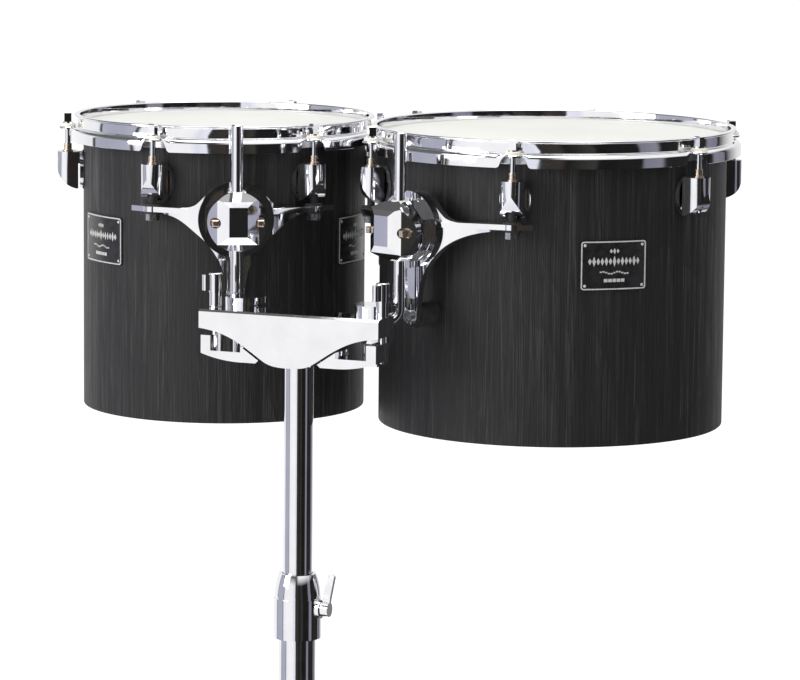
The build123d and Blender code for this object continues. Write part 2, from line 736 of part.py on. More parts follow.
def build_yoke():
    face_back = YOKE_FACE_Y + YOKE_FACE_WALL
    with BuildPart() as yoke:
        with BuildSketch(Plane.XZ.offset(-face_back)):
            with BuildLine():
                Polyline(
                    (0, YOKE_TOP - YOKE_V_DEPTH), (0, YOKE_TOP),
                    (YOKE_HALF, YOKE_TOP), (YOKE_HALF, YOKE_TOP - YOKE_END_HEIGHT),
                )
                Spline(*yoke_lower_edge(), tangents=[(-1, -0.1), (-1, 0)])
            make_face()
            mirror(about=Plane.YZ)
        extrude(amount=YOKE_FACE_WALL)
        front_edges = yoke.faces().sort_by(Axis.Y)[0].edges()
        chamfer(front_edges.group_by(Axis.Z)[-1], length=1.8)
        with BuildSketch(Plane.XY.offset(YOKE_TOP - YOKE_END_HEIGHT)):
            with Locations((0, face_back - 0.5)):
                Rectangle(
                    2 * YOKE_HALF, YOKE_DEPTH - YOKE_FACE_WALL + 0.5,
                    align=(Align.CENTER, Align.MIN),
                )
        extrude(amount=YOKE_END_HEIGHT)
        with BuildSketch(Plane.XY.offset(YOKE_TOP - YOKE_V_DEPTH + 1.5)):
            Circle(HUB_R)
            with Locations((0, face_back - 0.5)):
                Rectangle(2 * HUB_R, 18, align=(Align.CENTER, Align.MIN))
        extrude(amount=YOKE_V_DEPTH - 1.5)
        for side in (-1, 1):
            with BuildSketch(Plane.XY.offset(BALL_Z + SOCKET_GAP)):
                with Locations((side * BALL_X, BALL_Y)):
                    Circle(SOCKET_R)
            extrude(amount=14.2 - SOCKET_GAP)
            with BuildSketch(Plane.XY.offset(YOKE_TOP - YOKE_END_HEIGHT)):
                with Locations((side * BALL_X, BALL_Y)):
                    Circle(SOCKET_R)
                with Locations((side * BALL_X, BALL_Y - 10)):
                    Rectangle(
                        60, 60, align=(Align.CENTER, Align.MIN), mode=Mode.SUBTRACT
                    )
            extrude(amount=YOKE_END_HEIGHT + 6.0)
            with BuildSketch(Plane.XY.offset(BALL_Z + SOCKET_GAP)):
                with Locations((side * BALL_X, BALL_Y)):
                    Circle(SOCKET_R + 2)
                    Circle(SOCKET_WAIST_R, mode=Mode.SUBTRACT)
                with Locations(Location((side * BALL_X, BALL_Y, 0), (0, 0, 90 - side * 57))):
                    Rectangle(
                        30, 19, align=(Align.MIN, Align.CENTER), mode=Mode.INTERSECT
                    )
            extrude(amount=10, mode=Mode.SUBTRACT)
            with Locations((side * BALL_X, BALL_Y, BALL_Z)):
                Sphere(SEAT_R + FIT, mode=Mode.SUBTRACT)
        with BuildSketch(Plane.XY.offset(YOKE_TOP - YOKE_END_HEIGHT - 6)):
            with Locations((-WING_BOLT_X, WING_BOLT_Y), (WING_BOLT_X, WING_BOLT_Y)):
                Circle(WING_BOLT_R + 0.08)
        extrude(amount=YOKE_END_HEIGHT + 8, mode=Mode.SUBTRACT)
        with BuildSketch(Plane.XY.offset(YOKE_TOP - YOKE_V_DEPTH - 1)):
            Circle(UPPER_TUBE_R + FIT)
        extrude(amount=YOKE_V_DEPTH - 6, mode=Mode.SUBTRACT)
    return yoke


def build_clamp_jaws():
    """Hooked lower jaws: flush with the yoke's face, a cup under each ball."""
    window_in, window_out = JAW_WINDOW
    with BuildPart() as jaws:
        with BuildSketch(Plane.XZ.offset(-YOKE_FACE_Y - JAW_DEPTH)):
            with BuildLine():
                ThreePointArc(
                    (40.0, JAW_BOTTOM), (62.0, JAW_BOTTOM + 1.4), (JAW_END, JAW_BOTTOM + 6.0)
                )
                Polyline(
                    (JAW_END, JAW_BOTTOM + 6.0), (JAW_END, JAW_TOP), (window_out, JAW_TOP),
                    (window_out, JAW_BAR_TOP), (window_in, JAW_BAR_TOP),
                    (window_in, YOKE_TOP - 29.8), (27.2, YOKE_TOP - 41.0),
                    (30.0, JAW_BOTTOM), (40.0, JAW_BOTTOM),
                )
            make_face()
            mirror(about=Plane.YZ)
        extrude(amount=JAW_DEPTH)
        for side in (-1, 1):
            with BuildSketch(Plane.XY.offset(JAW_BOTTOM)):
                with Locations((side * BALL_X, 0)):
                    Rectangle(22, BALL_Y, align=(Align.CENTER, Align.MIN))
            extrude(amount=JAW_BAR_TOP - JAW_BOTTOM)
            with BuildSketch(Plane.XY.offset(JAW_BOTTOM)):
                with Locations((side * BALL_X, BALL_Y)):
                    Circle(11.0)
            extrude(amount=BALL_Z - SOCKET_GAP - 6 - JAW_BOTTOM)
            with BuildSketch(Plane.XY.offset(BALL_Z - SOCKET_GAP - 9.2)):
                with Locations((side * BALL_X, BALL_Y)):
                    Circle(16.5)
            extrude(amount=8.5)
            with Locations((side * BALL_X, BALL_Y, BALL_Z)):
                Sphere(SEAT_R + FIT, mode=Mode.SUBTRACT)
        with BuildSketch(Plane.XY.offset(YOKE_TOP - 40)):
            with Locations((-WING_BOLT_X, WING_BOLT_Y), (WING_BOLT_X, WING_BOLT_Y)):
                Circle(WING_BOLT_R + 0.08)
        extrude(amount=20, mode=Mode.SUBTRACT)
    return jaws


def build_wing_bolt(side, wing_angle):
    """Screw with a round grip and two short wings, standing on the yoke's end."""
    with BuildPart() as bolt:
        with BuildSketch(Plane.XY.offset(YOKE_TOP - 39.5)):
            Circle(WING_BOLT_R)
        extrude(amount=39.5 + 0.4)
        with BuildSketch(Plane.XY.offset(YOKE_TOP + 0.4)):
            Circle(5.2)
        extrude(amount=12.4)
        with BuildSketch(Plane.XY.offset(YOKE_TOP + 12.4)):
            Circle(5.8)
        extrude(amount=16.8)
        with BuildSketch(Plane.XY.offset(YOKE_TOP + 14.0)):
            SlotOverall(23, 6.4)
        extrude(amount=13.6)
        fillet(bolt.edges().group_by(Axis.Z)[-1], radius=1.2)
    return bolt, Location((side * WING_BOLT_X, WING_BOLT_Y, 0), (0, 0, wing_angle))


# ---------------------------------------------------------------- pole and height collar

def build_tube(outside, bottom, top):
    with BuildPart() as tube:
        with BuildSketch(Plane.XY.offset(bottom)):
            Circle(outside)
            Circle(outside - TUBE_WALL, mode=Mode.SUBTRACT)
        extrude(amount=top - bottom)
        chamfer(tube.edges().group_by(Axis.Z)[-1], length=0.4)
    return tube


def build_lower_tube():
    tube = build_tube(LOWER_TUBE_R, LOWER_TUBE_BOTTOM, LOWER_TUBE_TOP)
    with BuildPart() as drilled:
        add(tube.part)
        with BuildSketch(Plane.YZ):
            with Locations((0, COLLAR_BOLT_Z)):
                Circle(COLLAR_BOLT_R + 0.3)
        extrude(amount=LOWER_TUBE_R + 1, mode=Mode.SUBTRACT)
    return drilled


def build_height_bush():
    """Nylon bush in the mouth of the lower tube; the upper tube slides in it."""
    with BuildPart() as bush:
        with BuildSketch(Plane.XY.offset(LOWER_TUBE_TOP - 60)):
            Circle(LOWER_TUBE_R - TUBE_WALL - FIT)
            Circle(UPPER_TUBE_R + FIT, mode=Mode.SUBTRACT)
        extrude(amount=60)
        with BuildSketch(Plane.XY.offset(LOWER_TUBE_TOP + 0.3)):
            Circle(LOWER_TUBE_R - 0.6)
            Circle(UPPER_TUBE_R + FIT, mode=Mode.SUBTRACT)
        extrude(amount=2.0)
        with BuildSketch(Plane.XY.offset(LOWER_TUBE_TOP - 0.5)):
            Circle(LOWER_TUBE_R - TUBE_WALL - FIT)
            Circle(UPPER_TUBE_R + FIT, mode=Mode.SUBTRACT)
        extrude(amount=1.0)
    return bush


def build_height_collar():
    """Collar round the mouth of the lower tube, with a boss for its wing bolt."""
    bore = LOWER_TUBE_R + 0.02
    with BuildPart() as collar:
        with BuildSketch(Plane.XZ):
            with BuildLine():
                Polyline(
                    (bore, COLLAR_BOTTOM), (20.5, COLLAR_BOTTOM),
                    (20.5, COLLAR_SEAM - 1.2), (19.4, COLLAR_SEAM - 1.2),
                    (19.4, COLLAR_SEAM + 0.8), (19.9, COLLAR_SEAM + 0.8),
                )
                ThreePointArc(
                    (19.9, COLLAR_SEAM + 0.8), (18.6, COLLAR_SEAM + 11), (16.0, COLLAR_TOP)
                )
                Polyline(
                    (16.0, COLLAR_TOP), (UPPER_TUBE_R + 0.5, COLLAR_TOP),
                    (UPPER_TUBE_R + 0.5, COLLAR_TOP - 4), (bore, COLLAR_TOP - 4),
                    (bore, COLLAR_BOTTOM),
                )
            make_face()
        revolve(axis=Axis.Z)
        with BuildSketch(Plane.YZ.offset(17.5)):
            with Locations((0, COLLAR_BOLT_Z)):
                Circle(8.0)
        extrude(amount=COLLAR_BOSS_X - 17.5)
        with BuildSketch(Plane.YZ):
            with Locations((0, COLLAR_BOLT_Z)):
                Circle(COLLAR_BOLT_R + 0.06)
        extrude(amount=COLLAR_BOSS_X + 1, mode=Mode.SUBTRACT)
    return collar


def build_height_wing_bolt():
    """Screw that presses on the bush through the collar; its two wings lean outward."""
    tip_x = LOWER_TUBE_R - TUBE_WALL
    with BuildPart() as bolt:
        with BuildSketch(Plane.YZ.offset(tip_x)):
            Circle(COLLAR_BOLT_R)
        extrude(amount=COLLAR_BOSS_X + 1 - tip_x)
        with BuildSketch(Plane.YZ.offset(COLLAR_BOSS_X + 0.4)):
            Circle(6.2)
        extrude(amount=7.0)
        with BuildSketch(Plane.XZ):
            with BuildLine():
                Polyline(
                    (COLLAR_BOSS_X + 0.4, 0), (COLLAR_BOSS_X + 0.4, 12),
                    (COLLAR_BOSS_X + 3.2, 27),
                )
                ThreePointArc(
                    (COLLAR_BOSS_X + 3.2, 27), (COLLAR_BOSS_X + 6.4, 31),
                    (COLLAR_BOSS_X + 9.2, 27),
                )
                Polyline(
                    (COLLAR_BOSS_X + 9.2, 27), (COLLAR_BOSS_X + 7.4, 9),
                    (COLLAR_BOSS_X + 7.4, 0), (COLLAR_BOSS_X + 0.4, 0),
                )
            make_face()
            mirror(about=Plane.XY)
        extrude(amount=2.0, both=True)
    return bolt, Location((0, 0, COLLAR_BOLT_Z), (-14, 0, 0))


# ---------------------------------------------------------------- tripod
# A leg, its brace and its foot are drawn in one upright plane: x outward, z up.

def leg_point(along, out=0.0):
    """A point beside the open leg's centre line, seen in its upright plane."""
    lean = math.radians(LEG_ANGLE)
    return (
        LEG_PIVOT_R + along * math.sin(lean) + out * math.cos(lean),
        LEG_PIVOT_Z - along * math.cos(lean) + out * math.sin(lean),
    )


def leg_plane():
    """Plane across the leg at its pivot: x is the stand's tangent, y points away from it."""
    lean = math.radians(LEG_ANGLE)
    return Plane(
        origin=(LEG_PIVOT_R, 0, LEG_PIVOT_Z),
        x_dir=(0, 1, 0),
        z_dir=(math.sin(lean), 0, -math.cos(lean)),
    )


def build_leg():
    across = leg_plane()
    half = LEG_WIDTH / 2
    sign = 1 if across.y_dir.X > 0 else -1
    back = sign * LEG_BACK
    front = -sign * LEG_FRONT
    inner_back = sign * (LEG_BACK - LEG_WALL)
    with BuildPart() as leg:
        with BuildSketch(across.offset(-9.0)):
            with BuildLine():
                Polyline(
                    (-half, front), (-half, back), (half, back), (half, front),
                    (half - LEG_WALL, front), (half - LEG_WALL, inner_back),
                    (-half + LEG_WALL, inner_back), (-half + LEG_WALL, front),
                    close=True,
                )
            make_face()
        extrude(amount=LEG_LENGTH - 9.0 + 4.0)
        for along in (0.0, BRACE_LENGTH):
            x, z = leg_point(along)
            with Locations((x, 0, z)):
                Cylinder(
                    PIVOT_PIN_R + PIN_CLEARANCE, LEG_WIDTH + 6, rotation=(90, 0, 0),
                    mode=Mode.SUBTRACT,
                )
    return leg


def build_foot():
    """Rubber foot plugged into the end of the channel."""
    x, z = leg_point(LEG_LENGTH)
    across = leg_plane()
    sign = 1 if across.y_dir.X > 0 else -1
    plug_depth = LEG_BACK + LEG_FRONT - LEG_WALL - 0.4
    plug_centre = sign * (LEG_BACK - LEG_FRONT - LEG_WALL) / 2
    with BuildPart() as foot:
        with BuildSketch(across.offset(LEG_LENGTH - 24)):
            with Locations((0, plug_centre)):
                Rectangle(LEG_WIDTH - 2 * LEG_WALL - 0.2, plug_depth)
        extrude(amount=24)
        with BuildSketch(across.offset(LEG_LENGTH - 4.8)):
            with Locations((0, sign)):
                RectangleRounded(LEG_WIDTH + 5, LEG_BACK + LEG_FRONT + 5, 4)
        extrude(amount=8)
        with Locations((x, 0, z)):
            Sphere(FOOT_R)
        with Locations((x, 0, z - FOOT_FLAT)):
            Box(60, 60, 10, align=(Align.CENTER, Align.CENTER, Align.MAX), mode=Mode.SUBTRACT)
    return foot


def build_brace():
    """Flat strut from mid leg to the runner, with its two rivets."""
    top = leg_point(BRACE_LENGTH)
    bottom = (LEG_PIVOT_R, RUNNER_Z)
    with BuildPart() as brace:
        with BuildSketch(Plane.XZ):
            SlotCenterPoint(
                ((top[0] + bottom[0]) / 2, (top[1] + bottom[1]) / 2), top, height=13
            )
        extrude(amount=2.5, both=True)
        with Locations((top[0], 0, top[1])):
            Cylinder(PIVOT_PIN_R, LEG_WIDTH + 3, rotation=(90, 0, 0))
            Cylinder(5.0, 12, rotation=(90, 0, 0))
        with Locations((bottom[0], 0, bottom[1])):
            Cylinder(PIVOT_PIN_R, 19, rotation=(90, 0, 0))
    return brace


def build_leg_hub():
    """Fixed hub with a tongue and a rivet for each leg."""
    with BuildPart() as hub:
        with BuildSketch(Plane.XY.offset(LEG_PIVOT_Z - 17)):
            Circle(21.5)
        extrude(amount=34)
        fillet(hub.edges().filter_by(GeomType.CIRCLE), radius=2.0)
        for direction in LEG_DIRECTIONS.values():
            with BuildSketch(Plane.XZ.rotated((0, 0, direction))):
                with Locations((LEG_PIVOT_R / 2, LEG_PIVOT_Z)):
                    Rectangle(LEG_PIVOT_R, 13)
                with Locations((LEG_PIVOT_R, LEG_PIVOT_Z)):
                    Circle(6.5)
            extrude(amount=8.4, both=True)
        with BuildSketch(Plane.XY.offset(LEG_PIVOT_Z - 20)):
            Circle(LOWER_TUBE_R + 0.02)
        extrude(amount=40, mode=Mode.SUBTRACT)
        with PolarLocations(LEG_PIVOT_R, 3, start_angle=90):
            with Locations((0, 0, LEG_PIVOT_Z)):
                Cylinder(PIVOT_PIN_R, LEG_WIDTH + 3, rotation=(90, 0, 0))
    return hub


def build_runner():
    """Sliding collar with a slotted clevis for the foot of each brace."""
    with BuildPart() as runner:
        with BuildSketch(Plane.XY.offset(RUNNER_Z - RUNNER_HALF)):
            Circle(21.5)
        extrude(amount=34)
        fillet(runner.edges().filter_by(GeomType.CIRCLE), radius=2.0)
        for direction in LEG_DIRECTIONS.values():
            with BuildSketch(Plane.XZ.rotated((0, 0, direction))):
                with Locations((28.0, RUNNER_Z)):
                    RectangleRounded(22, 34, 4)
                with Locations((LEG_PIVOT_R, RUNNER_Z)):
                    SlotCenterToCenter(
                        RUNNER_SLOT, 2 * PIVOT_PIN_R + 0.8, rotation=90, mode=Mode.SUBTRACT
                    )
            extrude(amount=CLEVIS_HALF, both=True)
            with BuildSketch(Plane.XZ.rotated((0, 0, direction))):
                with Locations((34.0, RUNNER_Z)):
                    Rectangle(22, 40)
            extrude(amount=3.2, both=True, mode=Mode.SUBTRACT)
        with BuildSketch(Plane.XY.offset(RUNNER_Z - 20)):
            Circle(LOWER_TUBE_R + 0.08)
        extrude(amount=40, mode=Mode.SUBTRACT)
    return runner


def main():
    os.makedirs("parts", exist_ok=True)
    for name, drum in DRUMS.items():
        axis_x, axis_y = build_drum(name, **drum)
        print(f"{name} drum axis at x {axis_x:.2f}, y {axis_y:.2f}")
        write_piece(f"{name}_l_rod", build_l_rod(drum["side"]))
        write_piece(f"{name}_ball_seat", build_ball_seat(drum["side"]))
    write_piece("yoke", build_yoke())
    write_piece("clamp_jaws", build_clamp_jaws())
    for name, side, wing_angle in (("left", -1, 25.0), ("right", 1, 70.0)):
        bolt, place = build_wing_bolt(side, wing_angle)
        write_piece(f"{name}_wing_bolt", bolt, place)
    write_piece("upper_tube", build_tube(UPPER_TUBE_R, UPPER_TUBE_BOTTOM, YOKE_TOP - 8))
    write_piece("lower_tube", build_lower_tube())
    write_piece("height_bush", build_height_bush())
    write_piece("height_collar", build_height_collar())
    write_piece("height_wing_bolt", *build_height_wing_bolt())
    write_piece("leg_hub", build_leg_hub())
    write_piece("leg_runner", build_runner())
    leg = build_leg()
    brace = build_brace()
    foot = build_foot()
    for name, direction in LEG_DIRECTIONS.items():
        turned = Location((0, 0, 0), (0, 0, direction))
        write_piece(f"{name}_leg", leg, turned)
        write_piece(f"{name}_brace", brace, turned)
        write_piece(f"{name}_foot", foot, turned)


main()
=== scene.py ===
import json
import math

import bmesh
import bpy
from mathutils import Matrix, Vector


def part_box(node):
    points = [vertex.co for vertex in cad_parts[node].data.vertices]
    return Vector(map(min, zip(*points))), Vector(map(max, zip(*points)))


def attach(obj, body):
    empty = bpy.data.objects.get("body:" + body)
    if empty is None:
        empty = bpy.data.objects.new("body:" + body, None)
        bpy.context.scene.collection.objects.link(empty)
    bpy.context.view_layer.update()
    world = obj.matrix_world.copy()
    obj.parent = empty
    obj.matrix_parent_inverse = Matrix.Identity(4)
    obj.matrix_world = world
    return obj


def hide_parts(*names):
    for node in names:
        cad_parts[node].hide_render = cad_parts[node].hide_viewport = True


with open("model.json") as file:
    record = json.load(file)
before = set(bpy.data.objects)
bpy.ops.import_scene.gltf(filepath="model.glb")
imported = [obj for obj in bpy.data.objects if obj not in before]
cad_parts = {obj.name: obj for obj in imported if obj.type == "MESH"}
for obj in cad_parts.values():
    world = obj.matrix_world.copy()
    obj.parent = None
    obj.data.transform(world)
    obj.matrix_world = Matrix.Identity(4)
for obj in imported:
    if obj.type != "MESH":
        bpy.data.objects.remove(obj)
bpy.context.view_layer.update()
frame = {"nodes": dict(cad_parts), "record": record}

scene = bpy.context.scene
slots = {s["node"]: s["material_slot"] for s in frame["record"]["subparts"]}

INCH = 0.0254
RADIUS = {"left": 5 * INCH, "right": 6 * INCH}
TURN = {"left": math.radians(28.5), "right": math.radians(-21.5)}
RODS = 6


def middle(node):
    """Centre of a CAD node's box."""
    low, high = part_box(node)
    return (Vector(low) + Vector(high)) / 2


AXIS = {side: middle(side + "_flesh_hoop").to_2d() for side in RADIUS}
SHELL_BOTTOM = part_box("left_shell")[0][2]


def beside_shell(side, angle, out, height):
    """Point at an angle round a drum, out from its shell's wall, above the shell's bottom."""
    reach = RADIUS[side] + out
    return (
        AXIS[side].x + reach * math.cos(angle),
        AXIS[side].y + reach * math.sin(angle),
        SHELL_BOTTOM + height,
    )


# ---------------------------------------------------------------- node helpers

def add_node(tree, kind, **values):
    """A shader node, with its inputs set by name and its own settings by attribute."""
    node = tree.nodes.new(kind)
    for key, value in values.items():
        if hasattr(node, key):
            setattr(node, key, value)
        else:
            node.inputs[key.replace("_", " ")].default_value = value
    return node


def start_material(name, **principled):
    """A new material with one Principled shader, its constants set on the shader's sockets."""
    material = bpy.data.materials.new(name)
    material.use_nodes = True
    tree = material.node_tree
    tree.nodes.clear()
    output = tree.nodes.new("ShaderNodeOutputMaterial")
    shader = tree.nodes.new("ShaderNodeBsdfPrincipled")
    tree.links.new(shader.outputs["BSDF"], output.inputs["Surface"])
    for key, value in principled.items():
        shader.inputs[key.replace("_", " ")].default_value = value
    return material, tree, shader


def place_vector(tree, scale=(1, 1, 1), origin=(0, 0, 0), turn=(0, 0, 0)):
    """The point in the shared frame, seen from an origin, turned and scaled."""
    coordinates = tree.nodes.new("ShaderNodeTexCoord")
    shift = tree.nodes.new("ShaderNodeMapping")
    shift.vector_type = "TEXTURE"
    shift.inputs["Location"].default_value = origin
    shift.inputs["Rotation"].default_value = turn
    stretch = tree.nodes.new("ShaderNodeMapping")
    stretch.inputs["Scale"].default_value = scale
    tree.links.new(coordinates.outputs["Object"], shift.inputs["Vector"])
    tree.links.new(shift.outputs["Vector"], stretch.inputs["Vector"])
    return stretch.outputs["Vector"]


def noise(tree, vector, scale, detail=3.0, roughness=0.5):
    node = tree.nodes.new("ShaderNodeTexNoise")
    node.inputs["Scale"].default_value = scale
    node.inputs["Detail"].default_value = detail
    node.inputs["Roughness"].default_value = roughness
    tree.links.new(vector, node.inputs["Vector"])
    return node.outputs["Fac"]


def multiply(tree, first, second):
    node = add_node(tree, "ShaderNodeMath", operation="MULTIPLY")
    tree.links.new(first, node.inputs[0])
    tree.links.new(second, node.inputs[1])
    return node.outputs["Value"]


def ramp(tree, factor, stops):
    """Colour ramp from (position, colour) stops; a single number makes a grey."""
    node = tree.nodes.new("ShaderNodeValToRGB")
    elements = node.color_ramp.elements
    while len(elements) < len(stops):
        elements.new(0.5)
    for element, (position, colour) in zip(elements, stops):
        element.position = position
        if isinstance(colour, (int, float)):
            colour = (colour, colour, colour)
        element.color = (*colour, 1.0)
    tree.links.new(factor, node.inputs["Fac"])
    return node.outputs["Color"]


def bump(tree, shader, height, strength, distance):
    node = tree.nodes.new("ShaderNodeBump")
    node.inputs["Strength"].default_value = strength
    node.inputs["Distance"].default_value = distance
    tree.links.new(height, node.inputs["Height"])
    tree.links.new(node.outputs["Normal"], shader.inputs["Normal"])


# ---------------------------------------------------------------- materials

CHROME_TINT = (0.92, 0.92, 0.945)
CHROME_POLISH = 0.035       # roughness where it is cleanest
CHROME_SMEAR = 0.07         # roughness that handling adds
CHROME_WAVES = 0.00006      # depth of a polished casting's waviness

ASH_LEAN = (math.radians(3.4), math.radians(-2.6))
ASH_HEART = 0.1             # height of the rings' middle above the shell's bottom
ASH_STRETCH = (1.0, 1.0, 0.42)
ASH_PORES = (950.0, 950.0, 16.0)
ASH_STREAKS = (170.0, 170.0, 1.6)


def chrome_material():
    """Plated metal: bright, with faint haze and the slight waviness of polished castings."""
    material, tree, shader = start_material("chrome", Metallic=1.0)
    point = place_vector(tree)
    haze = noise(tree, point, 38.0, 4.0)
    dull = tuple(0.93 * v for v in CHROME_TINT)
    colour = ramp(tree, haze, [(0.35, dull), (0.65, CHROME_TINT)])
    tree.links.new(colour, shader.inputs["Base Color"])
    smear = ramp(
        tree, noise(tree, point, 110.0, 5.0),
        [(0.35, CHROME_POLISH), (0.75, CHROME_POLISH + CHROME_SMEAR)],
    )
    tree.links.new(smear, shader.inputs["Roughness"])
    bump(tree, shader, noise(tree, point, 26.0, 1.0), 0.35, CHROME_WAVES)
    return material


def growth_rings(tree, side):
    """Tall arches where the veneer cuts the rings, with a wandering line."""
    x, y = AXIS[side]
    origin = (x, y, SHELL_BOTTOM + ASH_HEART)
    point = place_vector(tree, ASH_STRETCH, origin, (*ASH_LEAN, TURN[side]))
    wander = add_node(tree, "ShaderNodeTexNoise", Scale=7.0, Detail=2.0)
    tree.links.new(point, wander.inputs["Vector"])
    mixed = add_node(tree, "ShaderNodeMix", data_type="VECTOR")
    mixed.inputs["Factor"].default_value = 0.10
    tree.links.new(point, mixed.inputs[4])
    tree.links.new(wander.outputs["Color"], mixed.inputs[5])
    rings = add_node(
        tree, "ShaderNodeTexWave", wave_type="RINGS", rings_direction="Z", wave_profile="SAW",
        Scale=24.0, Distortion=2.0, Detail=2.0, Detail_Scale=1.2,
    )
    tree.links.new(mixed.outputs[1], rings.inputs["Vector"])
    return ramp(tree, rings.outputs["Fac"], [(0.0, 0.62), (1.0, 1.0)])


def ash_material(side):
    """Black-stained ash veneer with arched rings, upright streaks and open pores."""
    material, tree, shader = start_material(
        f"black_ash_{side}", Specular_IOR_Level=0.42, Coat_Weight=0.06, Coat_Roughness=0.32
    )
    axis = (AXIS[side].x, AXIS[side].y, 0)
    fibre = noise(tree, place_vector(tree, ASH_PORES, axis), 1.0, 3.0, 0.6)
    pores = ramp(tree, fibre, [(0.40, 0.0), (0.60, 1.0)])
    streak = noise(tree, place_vector(tree, ASH_STREAKS, axis), 1.0, 2.0, 0.5)
    bands = ramp(tree, streak, [(0.36, 0.22), (0.62, 1.0)])
    grain = multiply(tree, multiply(tree, growth_rings(tree, side), bands), pores)
    colour = ramp(
        tree, grain,
        [(0.0, (0.0080, 0.0078, 0.0084)), (0.40, (0.0150, 0.0146, 0.0152)),
         (1.0, (0.040, 0.039, 0.040))],
    )
    tree.links.new(colour, shader.inputs["Base Color"])
    rough = ramp(tree, grain, [(0.0, 0.56), (1.0, 0.38)])
    tree.links.new(rough, shader.inputs["Roughness"])
    bump(tree, shader, grain, 0.75, 0.0005)
    return material


def coated_film_material():
    """Drum head: white coated film, faintly mottled, with a fine sprayed texture."""
    material, tree, shader = start_material("head_film", Specular_IOR_Level=0.35)
    point = place_vector(tree)
    cloud = noise(tree, point, 9.0, 4.0)
    tree.links.new(
        ramp(tree, cloud, [(0.3, (0.73, 0.73, 0.69)), (0.7, (0.79, 0.79, 0.755))]),
        shader.inputs["Base Color"],
    )
    tree.links.new(ramp(tree, cloud, [(0.3, 0.50), (0.7, 0.62)]), shader.inputs["Roughness"])
    bump(tree, shader, noise(tree, point, 1400.0, 3.0), 0.3, 0.0001)
    return material


def speckled_material(name, dark, light, rough, grain, metallic=0.0):
    """A plain substance with mottling, uneven gloss and a fine texture of so many grains a metre."""
    material, tree, shader = start_material(name, Metallic=metallic)
    point = place_vector(tree)
    cloud = noise(tree, point, grain / 9.0, 3.0)
    tree.links.new(ramp(tree, cloud, [(0.3, dark), (0.7, light)]), shader.inputs["Base Color"])
    tree.links.new(
        ramp(tree, noise(tree, point, grain / 3.0, 4.0), [(0.3, rough[0]), (0.7, rough[1])]),
        shader.inputs["Roughness"],
    )
    bump(tree, shader, noise(tree, point, grain, 3.0), 0.3, 0.0001)
    return material


def build_materials():
    return {
        "chrome": chrome_material(),
        "head_film": coated_film_material(),
        "aluminium": speckled_material(
            "aluminium", dark=(0.62, 0.63, 0.65), light=(0.72, 0.73, 0.75), rough=(0.28, 0.40),
            grain=900.0, metallic=1.0,
        ),
        "rubber": speckled_material(
            "rubber", dark=(0.012, 0.012, 0.012), light=(0.024, 0.023, 0.022), rough=(0.55, 0.75),
            grain=1200.0,
        ),
        "steel": speckled_material(
            "steel", dark=(0.50, 0.51, 0.53), light=(0.62, 0.63, 0.66), rough=(0.22, 0.34),
            grain=1400.0, metallic=1.0,
        ),
        "brass": speckled_material(
            "brass", dark=(0.72, 0.58, 0.46), light=(0.84, 0.72, 0.60), rough=(0.20, 0.34),
            grain=1400.0, metallic=1.0,
        ),
        "nylon": speckled_material(
            "nylon", dark=(0.74, 0.70, 0.60), light=(0.84, 0.81, 0.73), rough=(0.38, 0.50),
            grain=1100.0,
        ),
        "silver": speckled_material(
            "silver", dark=(0.46, 0.46, 0.45), light=(0.58, 0.58, 0.56), rough=(0.34, 0.50),
            grain=1500.0, metallic=0.25,
        ),
        "badge": speckled_material(
            "badge", dark=(0.010, 0.010, 0.011), light=(0.020, 0.020, 0.021), rough=(0.16, 0.26),
            grain=1600.0,
        ),
    }


materials = build_materials()
ash = {side: ash_material(side) for side in RADIUS}


def material_of(node):
    slot = slots[node]
    if slot == "black_ash":
        return ash[node.split("_")[0]]
    return materials[slot]


for node, piece in frame["nodes"].items():
    for place in piece.material_slots:
        place.material = material_of(node)


# ---------------------------------------------------------------- mesh helpers

def join_loops(edit, lower, upper):
    """A band of four-sided faces between two closed loops with as many points."""
    for here in range(len(lower)):
        after = (here + 1) % len(lower)
        edit.faces.new((lower[here], lower[after], upper[after], upper[here]))


def finish_mesh(name, edit, material):
    """The object that a bmesh becomes."""
    mesh = bpy.data.meshes.new(name)
    edit.to_mesh(mesh)
    edit.free()
    mesh.materials.append(material)
    piece = bpy.data.objects.new(name, mesh)
    scene.collection.objects.link(piece)
    return piece


# ---------------------------------------------------------------- badges
# A badge is drawn flat, u across and v up in metres, and then laid on the shell.

BADGE_ANGLE = 62.0          # either side of the bracket
BADGE_HEIGHT = 0.1563
BADGE_HALF = (0.030, 0.0215)
BADGE_FACE = 0.0012         # plate's face, out from the shell
SINK = 0.0002               # how deep raised work is set into the plate

BORDER_INSET = 0.0008
BORDER_WIDTH = 0.0011
BORDER_RISE = 0.0003
BORDER_CORNER = 0.0024
BORDER_INNER_CORNER = 0.0015
CORNER_STEPS = 5
EDGE_STEPS = 12

ORNAMENT_RISE = 0.00025
ROW_V = 0.0035              # the long row of lozenges
CREST_V = 0.0122            # the three over it
WAVE_V = -0.0062            # the wavy line under it
FOOT_V = -0.0128            # the blocks at the foot

RIVET_INSET = 0.0042
RIVET_RADIUS = 0.0013
RIVET_RISE = 0.0008
RIVET_RINGS = 5
RIVET_SIDES = 16


def on_badge(side, badge_angle, u, v, out):
    """Point over a badge's plate: u along the shell's girth, v up, out from the shell."""
    angle = TURN[side] + math.radians(270 + badge_angle) + u / RADIUS[side]
    return beside_shell(side, angle, out, BADGE_HEIGHT + v)


